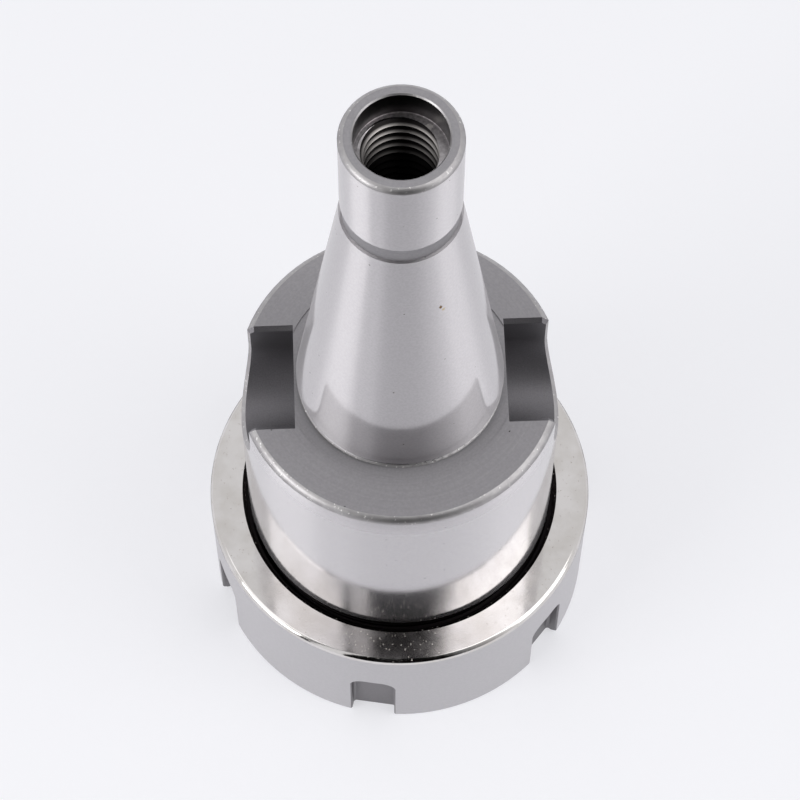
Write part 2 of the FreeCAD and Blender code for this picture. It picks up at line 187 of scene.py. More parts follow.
def specks(tree, in_mm, apart, size, share, warp=0.0):
    """1 inside small random specks and 0 elsewhere, sizes in mm; share is how many cells have one."""
    if warp:
        bend = add(tree, "ShaderNodeTexNoise", {"Vector": in_mm, "Scale": 2 / size, "Detail": 1.0})
        push = add(
            tree, "ShaderNodeVectorMath", {0: bend.outputs["Color"], "Scale": warp * size}, operation="SCALE"
        )
        in_mm = add(tree, "ShaderNodeVectorMath", {0: in_mm, 1: push.outputs[0]}).outputs[0]
    cells = add(tree, "ShaderNodeTexVoronoi", {"Vector": in_mm, "Scale": 1 / apart})
    reach = size / 2 / apart
    near = add(
        tree,
        "ShaderNodeMapRange",
        {"Value": cells.outputs["Distance"], 1: 0.6 * reach, 2: reach, 3: 1.0, 4: 0.0},
    )
    pick = add(tree, "ShaderNodeSeparateColor", {0: cells.outputs["Color"]})
    chosen = add(tree, "ShaderNodeMath", {0: pick.outputs[0], 1: share}, operation="LESS_THAN")
    both = add(tree, "ShaderNodeMath", {0: near.outputs[0], 1: chosen.outputs[0]}, operation="MULTIPLY")
    return both.outputs[0]


def cloud(tree, in_mm, size, low, high):
    """Soft patches about size mm across, from low to high."""
    noise = add(tree, "ShaderNodeTexNoise", {"Vector": in_mm, "Scale": 1 / size, "Detail": 3.0})
    spread = add(
        tree, "ShaderNodeMapRange", {"Value": noise.outputs["Fac"], 1: 0.35, 2: 0.65, 3: low, 4: high}
    )
    return spread.outputs[0]


def tint(tree, amount, first, second):
    """first where amount is 0 and second where it's 1; each is a hex colour or a colour socket."""
    first, second = (linear(c) if isinstance(c, str) else c for c in (first, second))
    mix = add(tree, "ShaderNodeMix", {0: amount, 6: first, 7: second}, data_type="RGBA")
    return mix.outputs[2]


def raise_marks(tree, shader, height, depth):
    """Bump from a height between 0 and 1, depth being its full size in metres."""
    bump = add(tree, "ShaderNodeBump", {"Height": height, "Strength": 1.0, "Distance": depth})
    tree.links.new(bump.outputs[0], shader.inputs["Normal"])


print("mark, speck, patch and bump helpers are ready")

# %% [markdown]
# ## Ground steel
#
# The taper, the pilot and the body's side are ground after hardening, because they have to run
# true. Grinding leaves a bright grey surface whose marks go round. Light that meets them keeps
# its direction along the marks and is spread widely across them, up and down the part, so
# whatever stands round the chuck shows as soft upright bands. Between the marks the steel is
# almost a mirror: the flange shows clearly in the foot of the taper. So the finish is two glosses
# in one, a clear one and a spread one. Fine mottling and tiny pits keep it from looking like
# plastic, and one rust spot shows that the steel isn't plated.

# %% Ground steel


def two_glosses(material, tree, shader, share, roughness):
    """Mix the shader with a clearer twin; share is how much of the result is the first, spread one."""
    clear = add(tree, "ShaderNodeBsdfPrincipled", {"Metallic": 1.0, "Roughness": roughness})
    colour = shader.inputs["Base Color"].links[0].from_socket
    tree.links.new(colour, clear.inputs["Base Color"])
    mix = add(tree, "ShaderNodeMixShader", {0: share, 1: clear.outputs[0], 2: shader.outputs[0]})
    tree.links.new(mix.outputs[0], tree.nodes["Material Output"].inputs["Surface"])


def spot(tree, in_mm, centre, size):
    """1 inside one uneven spot, centre and size in mm, and 0 away from it."""
    bend = add(tree, "ShaderNodeTexNoise", {"Vector": in_mm, "Scale": 2.5 / size, "Detail": 2.0})
    away = add(tree, "ShaderNodeVectorMath", {0: in_mm, 1: centre}, operation="DISTANCE")
    uneven = add(
        tree,
        "ShaderNodeMath",
        {0: bend.outputs["Fac"], 1: size, 2: away.outputs["Value"]},
        operation="MULTIPLY_ADD",
    )
    inside = add(
        tree, "ShaderNodeMapRange", {"Value": uneven.outputs[0], 1: 0.75 * size, 2: size, 3: 1.0, 4: 0.0}
    )
    return inside.outputs[0]


ground, tree, shader, in_mm = start_metal("ground_finish", "#cccacc", 0.48, anisotropy=1.0)
marks = tool_marks(tree, in_mm, spacing=0.2)
patchy = tint(tree, cloud(tree, in_mm, 0.35, 0.0, 1.0), "#cbc8ca", "#d2cfd1")
pits = specks(tree, in_mm, apart=1.5, size=0.3, share=0.16, warp=0.9)
pitted = tint(tree, pits, patchy, "#6f6a67")
rusty = tint(tree, spot(tree, in_mm, (5.29, -9.05, 105.6), 0.75), pitted, "#74552c")
stained = tint(tree, spot(tree, in_mm, (5.75, -9.1, 104.7), 0.8), rusty, "#c4b697")
tree.links.new(stained, shader.inputs["Base Color"])
raise_marks(tree, shader, marks, 0.0012 * MM)
rise = add(tree, "ShaderNodeSeparateXYZ", {0: in_mm})
# The body is ground finer than the taper, so less of its light is spread, and least near the nut.
FOOT_SHARE = 0.1
BODY_SHARE = 0.26
TAPER_EXTRA = 0.26
CLEAR_ROUGHNESS = 0.1
foot = nut_top_z / MM
flange = flange_z / MM
height = rise.outputs["Z"]
on_body = {"Value": height, 1: foot + 3, 2: foot + 13, 3: FOOT_SHARE, 4: BODY_SHARE}
at_foot = add(tree, "ShaderNodeMapRange", on_body)
above_flange = {"Value": height, 1: flange - 5, 2: flange, 3: 0.0, 4: TAPER_EXTRA}
on_taper = add(tree, "ShaderNodeMapRange", above_flange)
share = add(tree, "ShaderNodeMath", {0: at_foot.outputs[0], 1: on_taper.outputs[0]}, operation="ADD")
two_glosses(ground, tree, shader, share.outputs[0], CLEAR_ROUGHNESS)
print("made", ground.name)

# %% [markdown]
# ## Turned and hardened steel
#
# The flange face, the pilot's end and the grooves are turned and then hardened, and nobody grinds
# them. Heat leaves a thin grey skin, so they're much darker and duller than what is ground, with
# faint rings from the lathe.

# %% Turned and hardened steel
turned, tree, shader, in_mm = start_metal("turned_hardened_finish", "#aaa8ab", 0.72)
rings = tool_marks(tree, in_mm, spacing=0.5, length=4.0, detail=2.0)
pits = specks(tree, in_mm, apart=1.8, size=0.3, share=0.12, warp=0.8)
ringed = tint(tree, rings, "#a3a1a4", "#b1afb1")
grainy = tint(tree, cloud(tree, in_mm, 0.4, 0.0, 0.5), ringed, "#9e9c9f")
tree.links.new(tint(tree, pits, grainy, "#555254"), shader.inputs["Base Color"])
raise_marks(tree, shader, rings, 0.006 * MM)
print("made", turned.name)

# %% [markdown]
# ## Milled steel
#
# The drive slots are cut with an end mill and get the same dark skin. The nut's spanner slots are
# milled too, but the nut isn't blackened by hardening, so theirs is a lighter grey. Their marks
# are small and even, so fine noise with no direction is enough.

# %% Milled steel


def milled_metal(name, dark, light, roughness):
    """A metal whose grain has no direction, between a dark and a light hex colour."""
    material, tree, shader, in_mm = start_metal(name, dark, roughness)
    grain = add(tree, "ShaderNodeTexNoise", {"Vector": in_mm, "Scale": 5.0, "Detail": 3.0})
    tree.links.new(tint(tree, grain.outputs["Fac"], dark, light), shader.inputs["Base Color"])
    raise_marks(tree, shader, grain.outputs["Fac"], 0.008 * MM)
    print("made", name)
    return material


milled = milled_metal("milled_hardened_finish", "#6e6c6f", "#888689", 0.5)
milled_nut = milled_metal("milled_nut_finish", "#7b787b", "#908e90", 0.5)

# %% [markdown]
# ## Drilled and tapped steel
#
# Inside the drawbar hole the steel is dark. The thread's colour is painted light and shade: its
# crests are painted bright, a painted highlight where they catch light from the opening, its
# grooves are painted near black as painted shade, and the deeper the thread lies the darker it is
# painted, as painted shade deep in the hole. So one finish serves for the whole hole: its colour
# follows the distance from the axis, from the crests outwards, and the height, from the ledge
# down. A bright burr is left where the tap started.

# %% Drilled and tapped steel
tapped, tree, shader, in_mm = start_metal("tapped_painted_light_and_shade_finish", "#777374", 0.32)
flat = add(tree, "ShaderNodeVectorMath", {0: in_mm, 1: (1, 1, 0)}, operation="MULTIPLY")
radius = add(tree, "ShaderNodeVectorMath", {0: flat.outputs[0]}, operation="LENGTH")
rise = add(tree, "ShaderNodeSeparateXYZ", {0: in_mm})
# Painted highlight and painted shade: crest holds the crests, near the axis, painted light where they catch
# light, and the grooves painted near black as painted shade.
groove_painted_shade = add(tree, "ShaderNodeMapRange", {"Value": radius.outputs["Value"], 1: 5.15, 2: 5.5})
crest = tint(tree, groove_painted_shade.outputs[0], "#a09c99", "#1f1d1d")
# Painted shade: the deeper the thread lies below the ledge, the darker it is painted, down to near black.
depth_painted_shade = add(
    tree,
    "ShaderNodeMapRange",
    {"Value": rise.outputs["Z"], 1: ledge_z / MM - 9.0, 2: ledge_z / MM - 1.0},
)
lit = tint(tree, depth_painted_shade.outputs[0], "#0a0909", crest)
above = add(tree, "ShaderNodeMath", {0: rise.outputs["Z"], 1: ledge_z / MM - 0.45}, operation="GREATER_THAN")
grain = cloud(tree, in_mm, 0.5, 0.0, 1.0)
ledge_colour = tint(tree, grain, "#a39fa0", "#c4c0c1")
ledge = ledge_z / MM
on_wall = add(tree, "ShaderNodeMapRange", {"Value": rise.outputs["Z"], 1: ledge + 0.1, 2: ledge + 0.2})
burr = spot(tree, in_mm, (3.7, 4.1, ledge_z / MM), 1.3)
burred = tint(tree, burr, ledge_colour, "#f0ece8")
hole = tint(tree, on_wall.outputs[0], burred, "#353132")
tree.links.new(tint(tree, above.outputs[0], lit, hole), shader.inputs["Base Color"])
print("made", tapped.name)

# %% [markdown]
# ## Painted shade in the gaps
#
# The narrow gap between the body and the nut, the threads in it, the inside of the nut above its
# thread and the neck at the taper's foot see almost no light. This finish paints that shade into
# their colour: it is close to black, a painted shade.

# %% Painted shade in the gaps
recess_painted_shade = start_metal("recess_painted_shade_finish", "#232021", 0.45)[0]
print("made", recess_painted_shade.name)

# %% [markdown]
# ## Stoned edges
#
# A sharp edge on a hardened part is broken with a stone or a file. The narrow band that this
# leaves is lighter than the skin beside it, and it has small bright dents where the part has met
# other steel.

# %% Stoned edges
edge, tree, shader, in_mm = start_metal("stoned_edge_finish", "#aaa8a9", 0.42)
dents = specks(tree, in_mm, apart=0.5, size=0.3, share=0.3, warp=1.5)
worn = tint(tree, cloud(tree, in_mm, 1.5, 0.0, 1.0), "#a8a5a6", "#b6b4b4")
tree.links.new(tint(tree, dents, worn, "#e6e4e2"), shader.inputs["Base Color"])
raise_marks(tree, shader, dents, 0.01 * MM)
print("made", edge.name)

# %% [markdown]
# ## Polished steel
#
# The nut's rear face is polished almost to a mirror, so it shows the dark side of the room as
# plainly as the white one. Dust settles on it, and shows where the reflection is dark.

# %% Polished steel
polished, tree, shader, in_mm = start_metal("polished_finish", "#d6d3d0", 0.1)
tree.links.new(cloud(tree, in_mm, 4.0, 0.06, 0.16), shader.inputs["Roughness"])
patchy = tint(tree, cloud(tree, in_mm, 5.0, 0.0, 1.0), "#cfcbc7", "#dcd9d7")
tree.links.new(patchy, shader.inputs["Base Color"])
marks = tool_marks(tree, in_mm, spacing=0.2)
raise_marks(tree, shader, marks, 0.0003 * MM)
dust = add(tree, "ShaderNodeBsdfDiffuse", {"Color": linear("#cfc8c0")})
settled = specks(tree, in_mm, apart=0.5, size=0.24, share=0.3, warp=2.0)
dusty = add(tree, "ShaderNodeMixShader", {0: settled, 1: shader.outputs[0], 2: dust.outputs[0]})
tree.links.new(dusty.outputs[0], tree.nodes["Material Output"].inputs["Surface"])
print("made", polished.name)

# %% [markdown]
# ## Satin steel
#
# The nut's side isn't polished. Its finish is satin: light, even and soft, with marks that run
# round it.

# %% Satin steel
satin, tree, shader, in_mm = start_metal("satin_finish", "#c7c5c7", 0.42, anisotropy=0.5)
marks = tool_marks(tree, in_mm, spacing=0.25)
patchy = tint(tree, cloud(tree, in_mm, 0.5, 0.0, 1.0), "#c4c2c4", "#c8c6c8")
tree.links.new(patchy, shader.inputs["Base Color"])
raise_marks(tree, shader, marks, 0.002 * MM)
print("made", satin.name)

# %% [markdown]
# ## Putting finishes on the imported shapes
#
# The frame's meshes are loose triangles. A mirror-like finish would show every one of them, so
# each node gets a dressed copy: its doubled points are merged, and every point on a turned
# surface is given the exact direction that a lathe would leave it, straight out from the axis.
#
# A triangle is part of a turned surface if it faces straight away from the axis, or straight
# towards it, and its three corners fit one cone about the axis. A milled flat doesn't pass that
# test, because its corners are at different distances from the axis. An edge that was broken with
# a stone is rounded over: its band of triangles gets directions that swing from level to upright.

# %% Make a dressed copy with exact normals
SAME_PLACE = 0.0005 * MM
FIT = 0.02 * MM
CREASE = math.radians(28)
ROLLED = (18, 74)


def merged_copy(node_name, name):
    """The node's mesh with doubled points merged, creases sharp and large faces kept flat."""
    mesh = frame["nodes"][node_name].data.copy()
    for attribute in ("custom_normal", "sharp_edge", "sharp_face"):
        if attribute in mesh.attributes:
            mesh.attributes.remove(mesh.attributes[attribute])
    work = bmesh.new()
    work.from_mesh(mesh)
    bmesh.ops.remove_doubles(work, verts=work.verts, dist=SAME_PLACE)
    work.to_mesh(mesh)
    work.free()
    mesh.shade_smooth()
    mesh.set_sharp_from_angle(angle=CREASE)
    piece = bpy.data.objects.new(name, mesh)
    bpy.context.scene.collection.objects.link(piece)
    weigh = piece.modifiers.new("weigh", "WEIGHTED_NORMAL")
    weigh.keep_sharp = True
    weigh.weight = 100
    view = bpy.context.evaluated_depsgraph_get()
    piece.data = bpy.data.meshes.new_from_object(piece.evaluated_get(view))
    piece.modifiers.clear()
    piece.data.name = name
    return piece


def turned_faces(mesh, normals, corners):
    """Which faces fit a cone about the axis: radius plus slope times height is the same all over."""
    points = np.array([v.co for v in mesh.vertices])
    radius = np.hypot(points[:, 0], points[:, 1])[corners]
    height = points[:, 2][corners]
    sideways = np.hypot(normals[:, 0], normals[:, 1])
    slope = np.divide(normals[:, 2], sideways, out=np.zeros_like(sideways), where=sideways > 0.01)
    middle = points[corners].mean(1)
    away = middle[:, 0] * normals[:, 0] + middle[:, 1] * normals[:, 1]
    straight = np.abs(away) > 0.99 * sideways * np.hypot(middle[:, 0], middle[:, 1])
    level = radius + (np.sign(away) * slope)[:, None] * height
    return (sideways > 0.01) & straight & (np.ptp(level, axis=1) < FIT)


def set_exact_normals(piece, broken_edges=()):
    """Exact normals for turned faces. A broken edge is a band of heights that looks rounded over."""
    mesh = piece.data
    normals = np.array([p.normal for p in mesh.polygons])
    corners = np.array([list(p.vertices) for p in mesh.polygons])
    is_turned = turned_faces(mesh, normals, corners)
    found = np.array([c.vector for c in mesh.corner_normals]).reshape(-1, 3, 3)
    points = np.array([v.co for v in mesh.vertices])[corners]
    out = points[:, :, :2] / np.maximum(np.linalg.norm(points[:, :, :2], axis=2, keepdims=True), 1e-9)
    sign = np.sign((out.mean(1) * normals[:, :2]).sum(1))[:, None]
    lean = np.sqrt(np.clip(1 - found[:, :, 2] ** 2, 0, 1)) * sign
    exact = np.dstack([out * lean[:, :, None], found[:, :, 2]])
    for low, high in broken_edges:
        heights = points[:, :, 2]
        slopes = (normals[:, 2] > 0.3) & (normals[:, 2] < 0.95) & is_turned & (sign[:, 0] > 0)
        inside = slopes & (heights.min(1) > low - FIT) & (heights.max(1) < high + FIT)
        part_way = np.clip((heights - low) / (high - low), 0, 1)
        angle = np.radians(ROLLED[0] + (ROLLED[1] - ROLLED[0]) * part_way)
        rolled = np.dstack([out * np.cos(angle)[:, :, None], np.sin(angle)])
        exact = np.where(inside[:, None, None], rolled, exact)
    chosen = np.where(is_turned[:, None, None], exact, found)
    mesh.normals_split_custom_set(chosen.reshape(-1, 3))
    print(f"{piece.name}: {is_turned.sum()} of {len(corners)} triangles are turned")


# %% [markdown]
# ## Which finish goes where
#
# On the real part the finish changes where the tool changes, so each face's finish follows from
# where it is and which way it points. One short function a piece says so in words: the pilot's
# end and the flange face are turned, a face that slopes at 45 degrees is a stoned edge, the slots
# are milled, the hole is tapped, the gaps and the neck at the taper's foot get painted shade, and
# what is left is ground.

# %% Finishes by place
PILOT_BREAK = 0.75 * MM
FLANGE_BREAK = 1.0 * MM
NUT_BREAK = 0.8 * MM
MOUTH_DEPTH = 1.9 * MM
MOUTH_R = 25.66 * MM
NUT_THREAD_FOOT = 12 * MM
SPANNER_TOP = 14.7 * MM
SPANNER_INNER_R = 29 * MM
SPANNER_OUTER_R = 30.9 * MM
GAP_DEPTH = 1.12 * MM
SLOT_DEPTH = 15 * MM
SLOT_HALF_WIDTH = 9 * MM
SLOT_FLOOR_R = 16 * MM
CLOSE = 0.1 * MM


def paint(piece, finishes, choose):
    """Give each face the finish whose index choose(middle, normal) returns."""
    piece.data.materials.clear()
    for finish in finishes:
        piece.data.materials.append(finish)
    for face in piece.data.polygons:
        face.material_index = finishes.index(choose(face.center, face.normal))


def body_finish(middle, normal):
    """The body's finish at a face, read from the top of the part to its flange and slots."""
    radius = math.hypot(middle.x, middle.y)
    outward = (middle.x * normal.x + middle.y * normal.y) / max(radius, 1e-9)
    in_hole = radius < drawbar_r + 0.8 * MM and outward < 0.5 and middle.z > drawbar_foot_z
    if in_hole and middle.z < top_z - 0.3 * MM:
        return tapped
    # The body below the nut's top, in the gap, gets painted shade.
    if middle.z < nut_top_z + GAP_DEPTH:
        return recess_painted_shade
    if middle.z > top_z - 0.9 * MM:
        return turned if normal.z > 0.9 else edge
    if middle.z > pilot_foot_z:
        return ground
    if radius < pilot_r and normal.z < 0.9:
        return turned
    if middle.z > flange_z + 1.2 * MM:
        return ground
    # The neck at the taper's foot: its wall gets painted shade, its floor the stoned edge.
    if middle.z > flange_z - 2 * CLOSE and radius < SLOT_FLOOR_R:
        return recess_painted_shade if normal.z < 0.5 else edge
    if middle.z > flange_z - 2 * CLOSE:
        return turned
    along_y = abs(normal.y) > 0.99 or abs(normal.x) > 0.99
    in_slot = middle.z > flange_z - SLOT_DEPTH and abs(middle.y) < SLOT_HALF_WIDTH
    if in_slot and abs(outward) < 0.9 and radius > SLOT_FLOOR_R:
        on_edge = not along_y and abs(outward) > 0.5
        return edge if on_edge else milled
    if in_slot and SLOT_FLOOR_R < radius < body_r - CLOSE:
        return milled
    if radius > body_r - 1.1 * MM and 0.5 < normal.z < 0.9:
        return edge
    return ground


def nut_finish(middle, normal):
    """The nut's finish at a face: painted shade inside, polished on top, milled in its spanner slots."""
    radius = math.hypot(middle.x, middle.y)
    outward = (middle.x * normal.x + middle.y * normal.y) / max(radius, 1e-9)
    if radius < MOUTH_R:
        # Inside the nut, from its thread's foot up to the mouth, the wall gets painted shade.
        return recess_painted_shade if NUT_THREAD_FOOT < middle.z < nut_top_z - MOUTH_DEPTH + CLOSE else satin
    if middle.z > nut_top_z - NUT_BREAK - CLOSE:
        return polished
    in_slot = middle.z < SPANNER_TOP and radius > SPANNER_INNER_R and normal.z > -0.5
    if in_slot and (abs(outward) < 0.9 or radius < SPANNER_OUTER_R):
        return milled_nut
    return satin


def collet_finish(middle, normal):
    """The collet is ground all over."""
    return ground


body_piece = merged_copy("chuck_body", "turned_body")
nut_piece = merged_copy("clamping_nut", "spanner_nut")
collet_piece = merged_copy("collet", "slit_collet")
body_edges = ((top_z - PILOT_BREAK, top_z), (flange_z - FLANGE_BREAK, flange_z))
nut_edges = ((nut_top_z - NUT_BREAK, nut_top_z),)
body_finishes = [ground, turned, milled, tapped, edge, recess_painted_shade]
for piece, node, finishes, choose, slot, edges in (
    (body_piece, "chuck_body", body_finishes, body_finish, "ground_steel", body_edges),
    (nut_piece, "clamping_nut", [satin, polished, milled_nut, recess_painted_shade], nut_finish, "polished_steel", nut_edges),
    (collet_piece, "collet", [ground], collet_finish, "collet_steel", ()),
):
    set_exact_normals(piece, edges)
    paint(piece, finishes, choose)
    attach(piece, node)
    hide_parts(node)

# %% [markdown]
# ## Threads
#
# A thread is a ridge that climbs a fixed step, its pitch, in each turn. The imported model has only
# plain cylinders in those places, so the ridges are added here. A path and a section make one:
# Geometry Nodes draw a spiral, and Curve to Mesh sweeps a trapezoid along it. The same tree cuts
# all three threads, and only its inputs change.
#
# The ridge sinks a little way into its wall, so that no gap shows, and it fades out at both ends.

# %% The thread tree
STEPS = 72
SUNK = 0.04 * MM
RIDGE_BASE = 0.755
RIDGE_CREST = 0.16


def thread_tree():
    """A node tree that sweeps a trapezoid along a spiral, with its sizes as inputs."""
    tree = bpy.data.node_groups.new("thread_ridge", "GeometryNodeTree")
    tree.interface.new_socket("Geometry", in_out="OUTPUT", socket_type="NodeSocketGeometry")
    sizes_in = ("Root radius", "Pitch", "Turns", "Ridge height", "Ridge base", "Ridge crest", "Quarter turn")
    for name in sizes_in:
        tree.interface.new_socket(name, in_out="INPUT", socket_type="NodeSocketFloat")
    tree.interface.new_socket("Foot", in_out="INPUT", socket_type="NodeSocketVector")
    tree.interface.new_socket("Start angle", in_out="INPUT", socket_type="NodeSocketFloat")
    tree.interface.new_socket("Finish", in_out="INPUT", socket_type="NodeSocketMaterial")
    sizes = tree.nodes.new("NodeGroupInput").outputs
    climb = add(
        tree, "ShaderNodeMath", {0: sizes["Pitch"], 1: sizes["Turns"]}, operation="MULTIPLY"
    )
    spiral = add(
        tree,
        "GeometryNodeCurveSpiral",
        {
            "Resolution": STEPS,
            "Rotations": sizes["Turns"],
            "Start Radius": sizes["Root radius"],
            "End Radius": sizes["Root radius"],
            "Height": climb.outputs[0],
            "Reverse": True,
        },
    )
    upright = add(tree, "GeometryNodeSetCurveNormal", {"Curve": spiral.outputs[0]}, mode="Z_UP")
    section = add(
        tree,
        "GeometryNodeCurvePrimitiveQuadrilateral",
        {
            "Height": sizes["Ridge height"],
            "Bottom Width": sizes["Ridge base"],
            "Top Width": sizes["Ridge crest"],
            "Offset": 0.0,
        },
        mode="TRAPEZOID",
    )
    half = add(tree, "ShaderNodeMath", {0: sizes["Ridge height"], 1: 0.5}, operation="MULTIPLY")
    lift = add(tree, "ShaderNodeCombineXYZ", {"Y": half.outputs[0]})
    based = add(
        tree, "GeometryNodeTransform", {"Geometry": section.outputs[0], "Translation": lift.outputs[0]}
    )
    roll = add(tree, "ShaderNodeCombineXYZ", {"Z": sizes["Quarter turn"]})
    facing = add(
        tree, "GeometryNodeTransform", {"Geometry": based.outputs[0], "Rotation": roll.outputs[0]}
    )
    # The ridge fades in over the first half turn and out over the last.
    along = add(tree, "GeometryNodeSplineParameter")
    back = add(tree, "ShaderNodeMath", {0: 1.0, 1: along.outputs["Factor"]}, operation="SUBTRACT")
    nearer = add(tree, "ShaderNodeMath", {0: along.outputs["Factor"], 1: back.outputs[0]}, operation="MINIMUM")
    turns_in = add(tree, "ShaderNodeMath", {0: nearer.outputs[0], 1: sizes["Turns"]}, operation="MULTIPLY")
    fade = add(
        tree, "ShaderNodeMapRange", {"Value": turns_in.outputs[0], 1: 0.0, 2: 0.5, 3: 0.05, 4: 1.0}
    )
    ridge = add(
        tree,
        "GeometryNodeCurveToMesh",
        {
            "Curve": upright.outputs[0],
            "Profile Curve": facing.outputs[0],
            "Scale": fade.outputs[0],
            "Fill Caps": True,
        },
    )
    turn = add(tree, "ShaderNodeCombineXYZ", {"Z": sizes["Start angle"]})
    placed = add(
        tree,
        "GeometryNodeTransform",
        {"Geometry": ridge.outputs[0], "Translation": sizes["Foot"], "Rotation": turn.outputs[0]},
    )
    real = add(tree, "GeometryNodeRealizeInstances", {"Geometry": placed.outputs[0]})
    dressed = add(
        tree, "GeometryNodeSetMaterial", {"Geometry": real.outputs[0], "Material": sizes["Finish"]}
    )
    add(tree, "NodeGroupOutput", {0: dressed.outputs[0]})
    return tree


thread_ridge = thread_tree()
inputs_of = {
    item.name: item.identifier
    for item in thread_ridge.interface.items_tree
    if item.item_type == "SOCKET" and item.in_out == "INPUT"
}
print("thread tree inputs:", ", ".join(inputs_of))

# %% [markdown]
# A helper puts the tree on an empty mesh, sets its inputs by their identifiers and takes the
# result as a plain mesh. An external ridge stands outwards from its wall and an internal one
# inwards, which is a quarter turn of the section one way or the other.

# %% Cut one thread


def cut_thread(name, root, crest, pitch, foot, top, outward, finish, start=0.0):
    """A ridge from root to crest radius, between two heights."""
    piece = bpy.data.objects.new(name, bpy.data.meshes.new(name))
    bpy.context.scene.collection.objects.link(piece)
    ridge = piece.modifiers.new("ridge", "NODES")
    ridge.node_group = thread_ridge
    height = abs(crest - root) + SUNK
    values = {
        "Root radius": root + (-SUNK if outward else SUNK),
        "Pitch": pitch,
        "Turns": (top - foot) / pitch,
        "Ridge height": height,
        "Ridge base": RIDGE_BASE * pitch,
        "Ridge crest": RIDGE_CREST * pitch,
        "Quarter turn": math.pi / 2 if not outward else -math.pi / 2,
        "Foot": (0.0, 0.0, foot),
        "Start angle": start,
        "Finish": finish,
    }
    for label, value in values.items():
        ridge[inputs_of[label]] = value
    view = bpy.context.evaluated_depsgraph_get()
    mesh = bpy.data.meshes.new_from_object(piece.evaluated_get(view))
    piece.modifiers.clear()
    mesh.shade_smooth()
    mesh.set_sharp_from_angle(angle=CREASE)
    piece.data = mesh
    radii = [math.hypot(v.co.x, v.co.y) / MM for v in mesh.vertices]
    heights = [v.co.z / MM for v in mesh.vertices]
    print(
        f"{name}: radius {min(radii):.2f} to {max(radii):.2f} mm, height {min(heights):.1f} to"
        f" {max(heights):.1f} mm, {len(mesh.polygons)} faces"
    )
    return piece


DRAWBAR_PITCH = 1.75 * MM
DRAWBAR_CREST = 5.1 * MM
drawbar_thread = cut_thread(
    "drawbar_thread",
    drawbar_r,
    DRAWBAR_CREST,
    DRAWBAR_PITCH,
    drawbar_foot_z + 0.5 * MM,
    ledge_z + DRAWBAR_PITCH,
    outward=False,
    finish=tapped,
    start=math.radians(40),
)

# %% [markdown]
# The drawbar thread runs out at the ledge of its counterbore. So its ridge was made one turn too
# long, and is now sliced level with the ledge. The slice leaves the ledge wide where it meets the
# ridge and narrow where it meets the groove, as on a real tapped hole.

# %% Slice the drawbar thread at its ledge


def slice_level(piece, height):
    """Cut a closed mesh off at a height, and close it again."""
    work = bmesh.new()
    work.from_mesh(piece.data)
    everything = [*work.verts, *work.edges, *work.faces]
    cut = bmesh.ops.bisect_plane(
        work, geom=everything, plane_co=(0, 0, height), plane_no=(0, 0, 1), clear_outer=True
    )
    rim = [item for item in cut["geom_cut"] if isinstance(item, bmesh.types.BMEdge)]
    bmesh.ops.triangle_fill(work, use_beauty=True, use_dissolve=False, edges=rim)
    bmesh.ops.recalc_face_normals(work, faces=work.faces)
    work.to_mesh(piece.data)
    open_edges = sum(1 for e in work.edges if len(e.link_faces) != 2)
    work.free()
    piece.data.shade_smooth()
    piece.data.set_sharp_from_angle(angle=CREASE)
    print(f"{piece.name} is sliced at {height / MM:.1f} mm, open edges: {open_edges}")


slice_level(drawbar_thread, ledge_z - 0.01 * MM)
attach(drawbar_thread, "chuck_body")

# %% [markdown]
# The body's thread and the nut's thread have the same pitch and mesh with each other. Half a turn
# between their starts puts each ridge in the other's groove, and because the nut turns and
# travels together they stay apart while it's unscrewed.

# %% Cut the body's and the nut's threads
NUT_PITCH = 1.5 * MM
BODY_THREAD_LEAD = 1.2 * MM
BODY_THREAD_RUN = 8.3 * MM
# Both threads lie in the gap between body and nut, so they get the painted shade finish.
body_thread = cut_thread(
    "body_thread",
    24.1 * MM,
    24.9 * MM,
    NUT_PITCH,
    body_low.z + BODY_THREAD_LEAD,
    body_low.z + BODY_THREAD_RUN,
    outward=True,
    finish=recess_painted_shade,
)
nut_thread = cut_thread(
    "nut_thread",
    25.02 * MM,
    24.26 * MM,
    NUT_PITCH,
    body_low.z + BODY_THREAD_LEAD - 1.5 * NUT_PITCH,
    body_low.z + BODY_THREAD_LEAD + 4.5 * NUT_PITCH,
    outward=False,
    finish=recess_painted_shade,
)
for piece, body in ((body_thread, "chuck_body"), (nut_thread, "clamping_nut")):
    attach(piece, body)

# %% [markdown]
# ## The studio
#
# The chuck stands on a plain white table. Metal shows its surroundings, so what matters most is
# what stands round it. The table glows a little where it's seen or mirrored, and not as a lamp.

# %% Table
def seen_directly(tree):
    """1 for what the camera sees, itself or in a reflection or through glass, and 0 for light."""
    path = add(tree, "ShaderNodeLightPath")
    either = add(
        tree,
        "ShaderNodeMath",
        {0: path.outputs["Is Camera Ray"], 1: path.outputs["Is Glossy Ray"]},
        operation="MAXIMUM",
    )
    any_of = add(
        tree,
        "ShaderNodeMath",
        {0: either.outputs[0], 1: path.outputs["Is Transmission Ray"]},
        operation="MAXIMUM",
    )
    return any_of.outputs[0]


def plane(name, width, depth, centre, facing=(0, 0, 1)):
    """A flat rectangle, whose front looks along facing."""
    turn = Vector(facing).to_track_quat("Z", "Y").to_matrix().to_4x4()
    place = Matrix.Translation(centre) @ turn
    mesh = bpy.data.meshes.new(name)
    right, back = width / 2, depth / 2
    corners = [(-right, -back), (right, -back), (right, back), (-right, back)]
    mesh.from_pydata([place @ Vector((x, y, 0)) for x, y in corners], [], [(0, 1, 2, 3)])
    thing = bpy.data.objects.new(name, mesh)
    bpy.context.scene.collection.objects.link(thing)
    return thing


